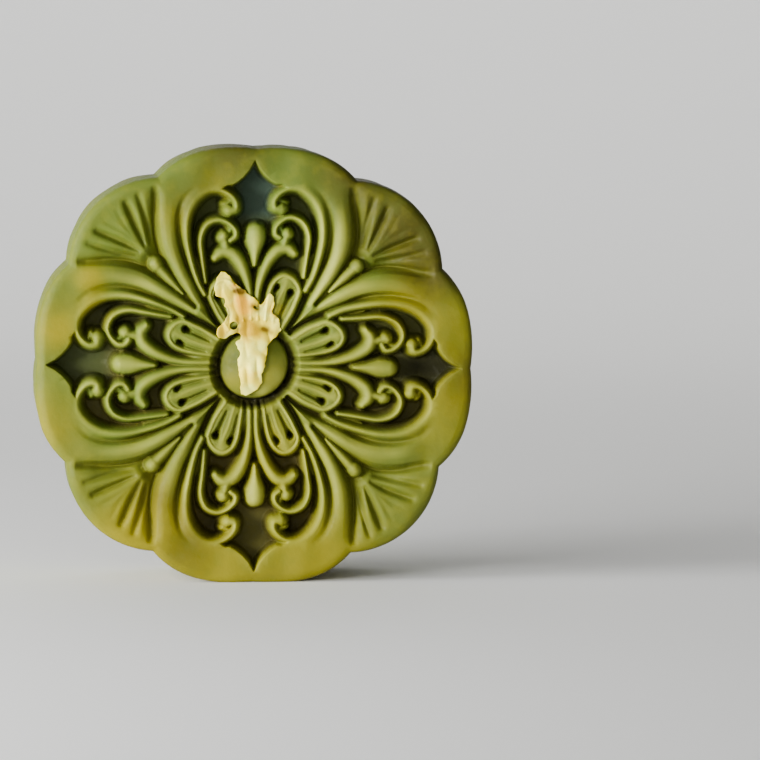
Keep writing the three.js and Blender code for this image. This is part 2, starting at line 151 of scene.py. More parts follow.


# The scrollwork of half a petal, as [across, along] from the hub. Width is half the ridge's width at
# places from 0 to 1 along it, drop is how far its crest lies below the highest crests, and the last
# entry is how far its crest pales, partly as paler dough and partly as a painted highlight.
ridges = {
    "scrollWeb": {
        "points": [[7.7, 12.4], [8.2, 14.4], [8.7, 16.4]],
        "width": [[0, 0.5], [0.6, 0.4], [1, 0.1]],
        "drop": 2.3,
        "paleAndHighlight": 0,
    },
    "hookWeb": {
        "points": [[3.6, 24.6], [4.5, 24.2]],
        "width": [[0, 0.5], [1, 0.4]],
        "drop": 1,
        "paleAndHighlight": 0,
    },
    "curlWeb": {
        "points": [[3.5, 20.7], [4, 19.6]],
        "width": [[0, 0.5], [1, 0.5]],
        "drop": 1.2,
        "paleAndHighlight": 0,
    },
    "outerScroll": {
        "points": [[7.5, 10.9], [8.6, 13], [9.6, 16.2], [10.1, 19], [10, 21.6], [9.4, 23.5], [8.3, 25.1],
                   [6.7, 26.2], [5, 26.3], [3.6, 25.6], [2.8, 24.5], [2.9, 23.5], [3.8, 23.3]],
        "width": [[0, 0.35], [0.25, 0.5], [0.5, 0.6], [0.7, 0.45], [0.85, 0.5], [0.95, 0.65], [1, 0.85]],
        "drop": 0.05,
        "paleAndHighlight": 0.6,
    },
    "innerScroll": {
        "points": [[7.3, 12.8], [7.7, 16], [8, 18.6], [7.6, 20.3], [6.7, 21.4], [5.3, 21.9], [4, 21.5],
                   [3, 20.5], [2.9, 19.5], [3.6, 18.9]],
        "width": [[0, 0.3], [0.3, 0.38], [0.75, 0.38], [1, 0.45]],
        "drop": 0.55,
        "paleAndHighlight": 0.8,
    },
    "scrollBall": {
        "points": [[4.6, 19.5], [4.7, 19.3]],
        "width": [[0, 0.75], [1, 0.75]],
        "drop": 0.35,
        "paleAndHighlight": 0.8,
    },
    "ballStem": {
        "points": [[4.5, 19], [4.2, 17.6]],
        "width": [[0, 0.55], [1, 0.75]],
        "drop": 0.55,
        "paleAndHighlight": 0.6,
    },
    "stemLeaf": {
        "points": [[0.5, 5], [0.5, 9.4], [0.75, 11.6], [1.25, 13.5], [2.05, 15.4], [3.3, 16.9],
                   [4.7, 17.2], [5.8, 16.4]],
        "width": [[0, 0.45], [0.25, 0.5], [0.45, 0.65], [0.6, 0.8], [0.75, 0.85], [0.9, 0.75], [1, 0.5]],
        "drop": 0.35,
        "paleAndHighlight": 1,
    },
    "loop": {
        "points": [[1.4, 4.9], [1.95, 9], [2.5, 11.2], [3.35, 12.5], [4.6, 13], [5.9, 12.3],
                   [6.6, 10.8], [5.9, 8.9], [5.1, 7.3], [3.3, 4.5]],
        "width": [[0, 0.35], [0.35, 0.4], [0.5, 0.5], [0.65, 0.45], [1, 0.45]],
        "drop": 0.35,
        "paleAndHighlight": 1,
    },
    "loopTongue": {
        "points": [[2.3, 4.9], [3.5, 9], [4.5, 11.2], [4.7, 12.2]],
        "width": [[0, 0.4], [0.6, 0.5], [1, 1.2]],
        "drop": 0.45,
        "paleAndHighlight": 0.8,
    },
    "bud": {
        "points": [[0, 15], [0, 16.8], [0, 18.4], [0, 19.9]],
        "width": [[0, 0.25], [0.35, 0.7], [0.7, 1.25], [0.9, 1.3], [1, 1.2]],
        "drop": 0.3,
        "paleAndHighlight": 0.7,
    },
    "shellKnob": {
        "points": [[14.9, 14.9], [15.1, 15.1]],
        "width": [[0, 0.95], [1, 0.95]],
        "drop": 0.15,
        "paleAndHighlight": 0.8,
    },
    "shellStem": {
        "points": [[10.9, 10.9], [14.3, 14.3]],
        "width": [[0, 0.2], [0.6, 0.7], [1, 0.75]],
        "drop": 0.35,
        "paleAndHighlight": 0.8,
    },
}
grooves = {
    "petalEdge": {
        "points": [[4.8, 5.2], [5.65, 6.4], [6.4, 7.6], [7.1, 9.1], [7.75, 10.6], [8.4, 12], [9.2, 13.5],
                   [10.1, 15.1], [10.8, 17], [11.2, 18.8], [11.3, 20.9], [11, 23], [10.3, 24.8], [9, 26.2]],
        "width": [[0, 0.65], [0.3, 0.75], [0.5, 0.7], [0.8, 0.75], [1, 0.8]],
        "depth": [[0, 3], [0.3, 3.2], [0.6, 2.2], [0.8, 1.1], [0.9, 0.4], [1, 0.1]],
        "lip": 0.35,
        "lipWidth": 2.2,
    },
    "shellEdge": {
        "points": [[9, 9], [10.5, 10.7], [12, 12.6], [13.2, 14.7], [14.2, 16.8], [14.8, 19],
                   [15, 22], [14.9, 24.4], [14.9, 26.6]],
        "width": [[0, 0.4], [0.3, 0.6], [0.6, 0.75], [1, 0.9]],
        "depth": [[0, 1.6], [0.25, 2], [0.45, 1.6], [0.8, 1.7], [0.92, 1.1], [1, 0.1]],
        "lip": 0.35,
        "lipWidth": 2.2,
    },
    "shellBed": {
        "points": [[11.5, 11.5], [14.2, 14.2], [15.4, 15.4]],
        "width": [[0, 0.5], [0.6, 1.6], [1, 2.2]],
        "depth": [[0, 0.5], [0.6, 1.1], [1, 1.3]],
        "lip": 0,
        "lipWidth": 1,
    },
    "innerFlute": {
        "points": [[15.9, 18], [16.2, 19.7], [16.8, 22.2], [17.6, 24.9]],
        "width": [[0, 0.4], [0.5, 0.65], [1, 0.65]],
        "depth": [[0, 0.2], [0.4, 0.65], [0.8, 0.65], [1, 0.35]],
        "lip": 0.4,
        "lipWidth": 1.7,
    },
    "outerFlute": {
        "points": [[16.8, 17.6], [17.6, 19.3], [18.6, 21.5], [19.5, 23.7]],
        "width": [[0, 0.4], [0.5, 0.75], [1, 0.7]],
        "depth": [[0, 0.3], [0.35, 0.95], [0.8, 1], [1, 0.6]],
        "lip": 0.4,
        "lipWidth": 1.7,
    },
    "middleFlute": {
        "points": [[18.6, 18.8], [20, 20.9], [21, 22.7]],
        "width": [[0, 0.3], [0.5, 0.6], [1, 0.3]],
        "depth": [[0, 0.05], [0.5, 0.15], [1, 0.05]],
        "lip": 0.5,
        "lipWidth": 2,
    },
}
slits = {
    "innerSlit": {
        "points": [[2.1, 7.4], [2.7, 9.6], [3.35, 11.4]],
        "width": [[0, 0.35], [0.6, 0.4], [0.85, 0.6], [1, 0.7]],
        "depth": [[0, 0.3], [0.7, 0.6], [0.85, 2], [0.95, 3.4], [1, 3.4]],
        "lip": 0,
        "lipWidth": 1,
    },
    "outerSlit": {
        "points": [[3.7, 6.8], [4.6, 8.7], [5.45, 10.5]],
        "width": [[0, 0.35], [0.6, 0.45], [0.85, 0.65], [1, 0.75]],
        "depth": [[0, 0.4], [0.7, 0.8], [0.85, 2], [0.95, 3.4], [1, 3.4]],
        "lip": 0,
        "lipWidth": 1,
    },
}
# where a painted highlight lies on the dough, besides along the ridges: the rolled edge of a petal
highlightBand = {
    "points": [[8, 8.9], [9.4, 11], [10.9, 13.8], [12.2, 17], [12.8, 20.5], [12.6, 24]],
    "width": [[0, 0.5], [0.4, 1.2], [0.7, 1.5], [1, 0.8]],
    "share": [[0, 0.9], [0.5, 0.9], [0.8, 0.6], [1, 0]],
}
pocketTip = [[4, 27], [3.2, 27.1], [2.4, 27.6], [1.5, 28.4], [0.7, 29.4], [0, 30.7]]


def pocketOutline():
    # the hollow of half a petal, closed along the petal's axis
    scroll = curveThrough(ridges["outerScroll"]["points"][:9])
    hubEnd = [[0, 5.4], [3.1, 4.4]]
    loopSide = ridges["loop"]["points"][:5:-1]
    return np.array(hubEnd + loopSide + scroll.tolist() + pocketTip)


def insideOf(outline, across, along):
    inside = np.zeros(across.shape, bool)
    before = outline[-1]
    for point in outline:
        (ax, ay), (bx, by) = before, point
        if ay != by:
            crosses = (ay > along) != (by > along)
            inside ^= crosses & (across < (bx - ax) * (along - ay) / (by - ay) + ax)
        before = point
    return inside


def valueAt(profile, place):
    # a value given at places from 0 to 1 along a line
    return np.interp(place, *np.array(profile).T)


def cutDepth(groove, across, along):
    # a narrow core between softly rounded lips
    distance, place, _ = nearestOn(curveThrough(groove["points"]), across, along, 4)
    width = valueAt(groove["width"], place)
    core = (1 - groove["lip"]) * hump(distance / width)
    lips = groove["lip"] * hump(distance / (width * groove["lipWidth"]))
    return valueAt(groove["depth"], place) * (core + lips)


def shellDip(across, along, radius):
    # the shell dips behind its knob, and most of all under the edges of the petals beside it
    distance, _, side = nearestOn(curveThrough(grooves["shellEdge"]["points"]), across, along, 40)
    off = -side * distance
    dip = relief["shellDip"] + relief["shellEdgeDip"] * (1 - smoothStep(*relief["shellEdgeSpan"], off))
    inShell = smoothStep(-0.1, 0.5, off) * smoothStep(*relief["shellInnerSpan"], radius)
    return dip * inShell * (1 - smoothStep(*relief["shellOuterSpan"], radius))


def pocketDepth(across, along, radius):
    outline = pocketOutline()
    distance, _, _ = nearestOn(outline, across, along, 8)  # open, as the axis isn't a wall
    signed = np.where(insideOf(outline, across, along), distance, -distance)
    rise = relief["floorDepth"] - relief["hubFloorDepth"]
    floorDepth = relief["floorDepth"] - rise * (1 - smoothStep(*relief["floorSpan"], radius))
    return floorDepth * smoothStep(*relief["floorEdge"], signed)


def loopFill(surface, level, across, along):
    # how much the ground within the loop rises, to a little below its crest
    loop = curveThrough(ridges["loop"]["points"])
    filled = np.where(insideOf(loop, across, along), nearestOn(loop, across, along, 3)[0], 0)
    return smoothStep(0, 0.4, filled) * np.maximum(level - relief["loopFill"] - surface, 0)


def halfPetalTable():
    # the relief below the highest crests, on a fine grid over half a petal and half a shell,
    # and how far the dough is paled there, partly as paler dough and partly as a painted highlight
    acrossLine, alongLine = np.arange(0, 25.6, tableStep), np.arange(0, 35.2, tableStep)
    across, along = np.meshgrid(acrossLine, alongLine, indexing="ij")
    radius = np.hypot(across, along)
    level = -cake["dish"] * (1 - smoothStep(*cake["dishSpan"], radius))
    surface = level - shellDip(across, along, radius)
    for groove in grooves.values():
        surface = surface - cutDepth(groove, across, along)
    surface = surface - pocketDepth(across, along, radius)
    surface = surface + loopFill(surface, level, across, along)
    for slit in slits.values():
        surface = surface - cutDepth(slit, across, along)

    paleAndHighlight = np.zeros(across.shape)
    for ridge in ridges.values():
        curve = curveThrough(ridge["points"])
        distance, place, _ = nearestOn(curve, across, along, relief["ridgeReach"])
        width = valueAt(ridge["width"], place)
        paleAndHighlight = np.maximum(paleAndHighlight, ridge["paleAndHighlight"] * hump(distance / (width + 0.15)))
        crown = relief["ridgeCrown"] * np.minimum(distance / width, 1) ** 2
        flank = relief["flankSlope"] * np.maximum(distance - width, 0)
        top = level - ridge["drop"] - crown - flank
        raised = smoothMax(top, surface, relief["ridgeBlend"])
        surface = np.where(distance < relief["ridgeReach"], raised, surface)
    distance, place, _ = nearestOn(curveThrough(highlightBand["points"]), across, along, 4)
    band = valueAt(highlightBand["share"], place) * hump(distance / valueAt(highlightBand["width"], place))
    return surface, np.maximum(paleAndHighlight, band)


def hubRelief(radius):
    # a domed button in a ring groove
    button = -cake["dish"] + hub["crown"] - hub["dome"] * (radius / hub["radius"]) ** hub["domePower"]
    off = radius - hub["grooveRadius"]
    inwards, outwards = hub["grooveWidth"]
    groove = hub["grooveDepth"] * hump(np.where(off < 0, -off / inwards, off / outwards))
    return button, groove


tableStep = 0.08
petalTable, paleAndHighlightTable = halfPetalTable()
print("relief table", petalTable.shape)

# How wide each petal's scrollwork opened, and how far it leans clockwise, in degrees:
# top, right, bottom and left petal
petalSpread = np.array([1.0, 0.96, 1.02, 1.02])
petalLean = np.radians([-0.8, 0.1, -0.5, -0.1])
petalFade = np.radians([26, 40])  # from a petal's axis, where both fade out: the shells stay in place


def waves(seed, count, shortest, longest):
    # a smooth uneven field of about unit size, from waves in random directions
    draw = np.random.default_rng(seed)
    length = np.exp(draw.uniform(np.log(shortest), np.log(longest), count))
    turn, phase = draw.uniform(0, 2 * np.pi, count), draw.uniform(0, 2 * np.pi, count)
    kx, ky = 2 * np.pi * np.cos(turn) / length, 2 * np.pi * np.sin(turn) / length

    def field(x, y):
        total = np.zeros(np.shape(x))
        for a, b, c in zip(kx, ky, phase):
            total += np.sin(a * x + b * y + c)
        return total / math.sqrt(count / 2)

    return field


bend = [waves(3, 10, 16, 40), waves(4, 10, 16, 40)]
lumps = waves(5, 24, 5, 20)
wallLumps = waves(6, 20, 5, 30)


def rimRadius(angle):
    # the outline, from petal to notch to shell, at angles clockwise from the top petal
    quarter = np.pi / 2
    degrees = np.degrees(np.abs(angle - quarter * np.round(angle / quarter)))
    crestAt, notchAt = cake["petalCrestAt"], cake["notchAt"]
    petal = cake["petalReach"] - np.where(
        degrees < crestAt,
        cake["petalDent"] * ((crestAt - degrees) / crestAt) ** 2,
        (cake["petalReach"] - cake["notchReach"]) * ((degrees - crestAt) / (notchAt - crestAt)) ** 2,
    )
    fromDiagonal = (45 - degrees) / (45 - notchAt)
    shell = cake["shellReach"] - (cake["shellReach"] - cake["notchReach"]) * fromDiagonal**2
    return np.where(degrees < notchAt, petal, shell)


def between(table, i, j):
    # a table's value between its rows and columns
    i0, j0 = i.astype(int), j.astype(int)
    fi, fj = i - i0, j - j0
    return (
        table[i0, j0] * (1 - fi) * (1 - fj)
        + table[i0 + 1, j0] * fi * (1 - fj)
        + table[i0, j0 + 1] * (1 - fi) * fj
        + table[i0 + 1, j0 + 1] * fi * fj
    )


def onPetal(table, x, y):
    # looks up a table of half a petal at any point of the pattern
    bentX, bentY = x + cake["bend"] * bend[0](x, y), y + cake["bend"] * bend[1](x, y)
    radius = np.hypot(bentX, bentY)
    angle = np.arctan2(bentX, bentY)  # clockwise from the top petal
    petal = np.round(angle / (np.pi / 2)).astype(int)
    off = angle - petal * np.pi / 2
    fade = 1 - smoothStep(*petalFade, np.abs(off))
    off = off - petalLean[petal % 4] * fade
    across = radius * np.abs(np.sin(off)) / (1 + (petalSpread[petal % 4] - 1) * fade)
    along = radius * np.cos(off)
    i = np.clip(across / tableStep, 0, table.shape[0] - 2.001)
    j = np.clip(along / tableStep, 0, table.shape[1] - 2.001)
    return between(table, i, j), radius


def faceRelief(x, y):
    # depth of the face below the highest crests
    depth, radius = onPetal(petalTable, x, y)
    button, groove = hubRelief(radius)
    depth = np.where(radius < hub["grooveRadius"], button - groove, np.minimum(depth, 0) - groove)
    return np.minimum(depth + cake["faceLumps"] * lumps(x, y) - cake["faceDent"], 0)


def ringLoop(count):
    return np.arange(count) * 2 * np.pi / count


class Skin:
    # gathers rings of points and joins each to the next, also where the count doubles or halves
    def __init__(self):
        self.points, self.triangles, self.total = [], [], 0
        self.last = None

    def addRing(self, reach, angle, height):
        # height is a number, one for each point, or a function of where the points are
        x, y = reach * np.sin(angle), reach * np.cos(angle)
        z = height(x, y) if callable(height) else np.broadcast_to(height, x.shape)
        ring = np.arange(self.total, self.total + len(x))
        self.points.append(np.stack([x, y, z], 1))
        self.total += len(x)
        if self.last is not None:
            self.join(self.last, ring)
        self.last = ring

    def join(self, a, b):
        if len(b) == 2 * len(a):
            self.fan(a, b, False)
        elif len(a) == 2 * len(b):
            self.fan(b, a, True)
        else:
            nextA, nextB = np.roll(a, -1), np.roll(b, -1)
            self.triangles += [np.stack([a, b, nextB], 1), np.stack([a, nextB, nextA], 1)]

    def fan(self, few, many, swap):
        nextFew, m0, m1, m2 = np.roll(few, -1), many[::2], many[1::2], np.roll(many, -2)[::2]
        for trio in ([few, m0, m1], [few, m1, nextFew], [nextFew, m1, m2]):
            self.triangles.append(np.stack(trio[::-1] if swap else trio, 1))

    def closeEnd(self, height):
        # closes the last ring on its middle
        self.points.append(np.array([[0, 0, height]]))
        middle = np.full(len(self.last), self.total)
        self.total += 1
        self.triangles.append(np.stack([self.last, middle, np.roll(self.last, -1)], 1))

    def closeStart(self):
        # closes the first ring on its middle
        first = self.points[0]
        ring, middle = np.arange(len(first)), np.full(len(first), self.total)
        self.points.append(np.array([[0, 0, first[:, 2].mean()]]))
        self.total += 1
        self.triangles.append(np.stack([middle, ring, np.roll(ring, -1)], 1))


def addFace(skin):
    # rings from the hub to the shoulder, which take on the outline's lobes on their way out
    inset = cake["wallBulge"] + cake["shoulder"]
    edge = cake["meanReach"] - inset
    for radius in np.arange(cake["firstRing"], edge, cake["ringSpacing"]):
        count = cake["ringPoints"]
        for limit in (16.5, 8.2, 4.1, 2.0, 1.0):  # each halves the points on the rings within it
            if radius < limit:
                count //= 2
        angle = ringLoop(count)
        lobe = rimRadius(angle) - inset - edge
        reach = radius + smoothStep(cake["lobesFrom"], edge, radius) * lobe
        skin.addRing(reach, angle, lambda x, y: cake["crest"] + faceRelief(x, y))


def addShoulder(skin):
    angle = ringLoop(cake["ringPoints"])
    rim = rimRadius(angle)
    for turn in np.radians(np.arange(4, 91, 5)):
        fade = 1 - smoothStep(0.2, 1.2, turn)  # the relief ends on the way down
        level = cake["crest"] - cake["shoulder"] * (1 - np.cos(turn))
        inset = cake["wallBulge"] + cake["shoulder"] * (1 - np.sin(turn))
        skin.addRing(rim - inset, angle, lambda x, y: level + faceRelief(x, y) * fade)


def addWallAndBack(skin):
    # down the wall, round the back edge and in over the back, with fewer points towards its middle
    angle = ringLoop(cake["ringPoints"] // 2)
    rim = rimRadius(angle)
    wallTop, wallBottom = cake["crest"] - cake["shoulder"], cake["backFillet"] - cake["crest"]
    for height in np.linspace(wallTop - 0.5, wallBottom, 36):
        bulge = cake["wallBulge"] * (abs(height) / wallTop) ** 3
        uneven = cake["wallLumps"] * wallLumps(cake["meanReach"] * angle, height)
        skin.addRing(rim - bulge + np.minimum(uneven - cake["wallDent"], 0), angle, height)
    for turn in np.radians(np.arange(8, 91, 8.2)):
        inset = cake["wallBulge"] + cake["wallDent"] + cake["backFillet"] * (1 - np.cos(turn))
        skin.addRing(rim - inset, angle, wallBottom - cake["backFillet"] * np.sin(turn))

    def backHeight(x, y):
        return np.maximum(cake["backLumps"] * lumps(x, y) + cake["backDent"], 0) - cake["crest"]

    for share, fewer in ((0.9, 1), (0.8, 2), (0.65, 1), (0.5, 2), (0.35, 2), (0.2, 2)):
        angle = ringLoop(len(angle) // fewer)
        reach = share * (cake["meanReach"] - cake["wallBulge"] - cake["backFillet"])
        skin.addRing(reach, angle, backHeight)
    skin.closeEnd(cake["backDent"] - cake["crest"])


def meshFrom(name, points, triangles):
    mesh = bpy.data.meshes.new(name)
    mesh.vertices.add(len(points))
    mesh.vertices.foreach_set("co", np.asarray(points, np.float32).ravel())
    mesh.loops.add(3 * len(triangles))
    mesh.loops.foreach_set("vertex_index", np.asarray(triangles, np.int32).ravel())
    mesh.polygons.add(len(triangles))
    mesh.polygons.foreach_set("loop_start", np.arange(0, 3 * len(triangles), 3, dtype=np.int32))
    mesh.update(calc_edges=True)
    mesh.validate()
    return mesh


def show(mesh, name):
    piece = bpy.data.objects.new(name, mesh)
    bpy.context.scene.collection.objects.link(piece)
    return piece


def pointsOf(mesh):
    points = np.zeros(3 * len(mesh.vertices), np.float32)
    mesh.vertices.foreach_get("co", points)
    return points.reshape(-1, 3).astype(float)


def rolled(x, y, degrees):
    # turns the pattern clockwise about the hub
    turn = math.radians(degrees)
    return x * math.cos(turn) + y * math.sin(turn), y * math.cos(turn) - x * math.sin(turn)


def upright(points):
    # from face up in millimetres to standing in metres
    x, y = rolled(points[:, 0], points[:, 1], cake["roll"])
    height = np.maximum(y + cake["hubHeight"], 0)
    depth = np.clip(points[:, 2], -cake["crest"], cake["crest"])
    return np.stack([x, -depth, height], 1) * mm


def applyModifiers(piece):
    graph = bpy.context.evaluated_depsgraph_get()
    piece.data = bpy.data.meshes.new_from_object(piece.evaluated_get(graph))
    piece.modifiers.clear()


def thin(piece, triangles):
    # fewer faces where the skin is plain
    modifier = piece.modifiers.new("thin", "DECIMATE")
    modifier.ratio = triangles / len(piece.data.polygons)
    applyModifiers(piece)


skin = Skin()
addFace(skin)
addShoulder(skin)
addWallAndBack(skin)
skin.closeStart()
points, triangles = np.vstack(skin.points), np.vstack(skin.triangles)
a, b, c = points[triangles[:, 0]], points[triangles[:, 1]], points[triangles[:, 2]]
if np.einsum("ij,ij->i", a, np.cross(b, c)).sum() < 0:
    triangles = triangles[:, ::-1]  # the faces look outwards
cakePiece = show(meshFrom("cakeSkin", points, triangles), "cakeDough")
thin(cakePiece, cake["triangles"])
facePoints = pointsOf(cakePiece.data)
cakePiece.data.vertices.foreach_set("co", upright(facePoints).astype(np.float32).ravel())
cakePiece.data.shade_smooth()
cakePiece.data.update()
print("cake skin", len(cakePiece.data.polygons), "triangles")

gridReach, gridStep = 34.5, 0.15


def faceGrid():
    line = np.arange(-gridReach, gridReach + 0.01, gridStep)
    x, y = np.meshgrid(line, line, indexing="ij")
    return faceRelief(x, y)


def blurred(field, radius):
    # three box blurs, close to a round one
    width = 2 * radius + 1
    for _ in range(3):
        for axis in (0, 1):
            padded = np.concatenate([np.repeat(field.take([0], axis), radius + 1, axis), field,
                                     np.repeat(field.take([-1], axis), radius, axis)], axis)
            total = np.cumsum(padded, axis)
            count = field.shape[axis]
            field = (total.take(range(width, width + count), axis)
                     - total.take(range(count), axis)) / width
    return field


def onGrid(field, x, y):
    i = np.clip((x + gridReach) / gridStep, 0, field.shape[0] - 1.001)
    j = np.clip((y + gridReach) / gridStep, 0, field.shape[1] - 1.001)
    return between(field, i, j)


def writeMask(mesh, name, values):
    attribute = mesh.attributes.new(name, "FLOAT", "POINT")
    attribute.data.foreach_set("value", np.asarray(values, np.float32))


# Where the dough is yellower, greener or browner, the brown being partly painted shade on rims that
# face away from the light, where painted highlights lie on its ridges and where painted shade
# darkens its hollows, as [x, y, radius, share]
doughTints = {
    "mustard": [[-23.8, 8, 2.2, 1], [-24.5, 12.8, 2, 1], [-29.3, 5, 2.4, 1], [-18, -27, 6, 0.9],
                [-31, -9, 4, 0.5], [-6, -30, 9, 0.7], [10, -29, 8, 0.7], [29, 6, 5, 0.4], [22, 9, 4, 0.7],
                [-6, 27, 3, 0.4], [-12, 22, 3, 0.3], [29, -4, 6, 0.5], [3, -14, 5, 0.5], [-14, -22, 4, 0.7],
                [2.4, -1.8, 1.7, 0.5], [-3.2, -2, 1.5, 0.3], [3.4, 8.2, 0.9, 0.7]],
    "green": [[-22, 17, 7, 0.6], [1, 30, 6, 0.6], [-16, 4, 8, 0.7], [10, 8, 5, 0.5], [-26, -2, 5, 0.5],
              [0, 21, 7, 1], [18, 14, 3, 0.8], [-16, -7, 3.5, 1], [-21.5, -9, 3, 0.8], [-12, 28, 5, 0.6],
              [-3.4, 1.4, 1.3, 0.2], [8, 21, 4, 0.6], [5, -24, 3, 0.3]],
    # browner dough, and painted shade on the rims that face away from the light
    "brownAndShade": [[22, 20, 6, 1], [26, 14, 4, 1], [14, 29, 5, 0.9], [31, -1, 4, 0.7], [-3, 32, 5, 1],
              [-10, 25, 4, 0.5], [3, -34, 4, 0.4], [-10, -27, 4, 0.9], [-14, -20, 3, 0.8], [-19, 14, 3, 0.6],
              [24, 6, 3, 0.3], [-3.4, 0.8, 1.7, 0.4]],
    # painted highlights
    "light": [[10, 20, 4.5, 1], [10, 12, 4, 0.9], [7, 7, 3, 0.7], [14, 10, 3, 0.5], [0, -18.5, 2.5, 1],
              [-1.5, -22, 2.5, 1], [-0.5, 18, 2.5, 1], [-19, 1, 3, 0.8], [-1, -30.5, 3, 0.6],
              [-18, 10, 3, 0.6], [3.7, -1.9, 1.8, 0.9], [1.4, -3.9, 1.1, 0.8], [2.3, -0.3, 1.2, 0.2],
              [4.2, 1, 1.2, 0.3], [-10, -18, 2.5, 0.6], [-25, -3, 2, 0.6]],
    # painted shade in hollows: the right petal's tip, the hub ring's right side and a few others
    "paintedShade": [[24, 0, 3, 0.8], [28, 0, 3, 1], [-21, 8.8, 3, 0.7], [21, -8.8, 3, 0.7], [-5, -24, 3, 0.7],
             [5, -24, 3, 0.6], [5.2, -1.5, 2.4, 0.6], [3.5, -4.4, 2, 0.8], [0, -5.6, 2.4, 1],
             [-5.4, -1, 2, 0.3]],
}
# Spans over which the colours set in
maskSpans = {
    "pitShade": (2.4, 4.6),  # depth below the crests, where the painted shade of the deep hollows sets in
    "paintedShade": (1.8, 3.2),  # depth below the crests, where the painted shade sets in
    "face": (0.8, 2.0),  # distance inside the rim
    "crest": (6.2, 7.0),  # distance from the hub, where the crests' paling and painted highlight set in
    "hub": (4.4, 4.9),  # distance from the hub, where its painted highlight patches end
    "tipAlong": (20.5, 23.0),  # distance from the hub along a petal
    "tipAcross": (1.5, 4.2),  # distance from a petal's axis
    "front": (-7, 8),  # height, from the back towards the face
}
faceFrom = 5  # height above which a point can be on the face
creviceDepth = 1.3  # how far below the ground around it a crevice gets its full painted shade


def tintMask(patches, x, y):
    # soft round patches
    total = np.zeros(x.shape)
    for atX, atY, radius, share in patches:
        total += share * np.exp(-((x - atX) ** 2 + (y - atY) ** 2) / radius**2)
    return np.clip(total, 0, 1)


def diamondMask(x, y):
    # the open tip of each petal's hollow, beyond its bud
    across, along = np.minimum(np.abs(x), np.abs(y)), np.maximum(np.abs(x), np.abs(y))
    leftShare, rightShare = 0.6, 0.2
    share = np.where(np.abs(y) > np.abs(x), 1, np.where(x < 0, leftShare, rightShare))
    inTip = smoothStep(*maskSpans["tipAlong"], along) * (1 - smoothStep(*maskSpans["tipAcross"], across))
    return share * inTip


def cakeMasks(x, y, z):
    # every mask that colours the dough, at points of the cake that lies face up
    depth = -onGrid(gridDepth, x, y)
    hollow = onGrid(blurred(gridDepth, 4), x, y) + depth
    rimInset = rimRadius(np.arctan2(x, y)) - np.hypot(x, y)
    inFace = smoothStep(*maskSpans["face"], rimInset) * (z > faceFrom)
    paleAndHighlight, radius = onPetal(paleAndHighlightTable, x, y)
    outsideHub = smoothStep(*maskSpans["crest"], radius)
    # the crests: paler dough, with a painted highlight along the ridges
    crest = inFace * np.clip(0.8 * paleAndHighlight * outsideHub - 0.25 * hollow, 0, 1)
    # where painted highlights lie on the hub's dome
    onHub = inFace * (1 - smoothStep(*maskSpans["hub"], radius))
    masks = {
        # painted shade in the deep hollows
        "pitShade": inFace * smoothStep(*maskSpans["pitShade"], depth),
        # painted shade in the crevices
        "creviceShade": inFace * np.clip(hollow / creviceDepth, 0, 1),
        "crest": crest,
        "diamond": inFace * diamondMask(x, y),
    }
    towardsFace = 0.2 + 0.8 * smoothStep(*maskSpans["front"], z)  # the tints fade towards the back
    # painted highlights on the crests and the hub, and painted shade in the deepest hollows
    where = {
        "light": np.maximum(crest, onHub),
        "paintedShade": inFace * smoothStep(*maskSpans["paintedShade"], depth),
    }
    for tint, patches in doughTints.items():
        masks[tint] = tintMask(patches, x, y) * where.get(tint, towardsFace)
    return masks


gridDepth = faceGrid()
for name, mask in cakeMasks(*facePoints.T).items():
    writeMask(cakePiece.data, name, mask)
print("masks written")

# Gold leaf: its torn outline from the hub, and the holes in it as [x, y, radius]
leaf = {
    "outline": [[-5.2, 13.9], [-4.3, 13.7], [-3.5, 12.7], [-2.8, 11.9], [-2.3, 11.6], [-1.7, 11.2],
                [-1.4, 10.8], [-0.8, 10.4], [0.1, 9.8], [0.8, 9.1], [1.4, 10], [2.1, 10.8], [2.7, 10.1],
                [2.7, 8.9], [2.5, 8], [3.5, 6.9], [3.8, 5.6], [3.4, 4.7], [2.2, 3.5], [1.7, 1.8],
                [1.5, 0.2], [1, -1.2], [1.1, -2.5], [0, -3.8], [-1.3, -4.5], [-2, -4], [-2.1, -2.6],
                [-2.3, -0.9], [-2.5, 0.5], [-2.3, 2], [-2.8, 3.4], [-2, 4.4], [-3.1, 4.8], [-4.4, 4.1],
                [-5.5, 4.2], [-5.7, 5.2], [-4.8, 6.4], [-4.1, 7.4], [-4.4, 8.7], [-4.7, 9.9],
                [-5.7, 10.3], [-6.2, 11.4], [-5.9, 13]],
    "holes": [[-3.2, 5.95, 0.62], [-0.15, 8.75, 0.2], [0.2, 8.6, 0.22]],
    "spanX": (-8, 5),  # the box that its grid of points covers
    "spanY": (-6, 16),
    "step": 0.12,
    "thickness": 0.05,
    "lift": 0.2,  # how far it lies clear of the crests
    "sag": 0.1,  # how far it follows the ground between them, from 0 to 1
    "top": -0.1,  # the highest that it lies, from the highest crests
    "ragged": 0.06,
    "crumple": 0.14,
}
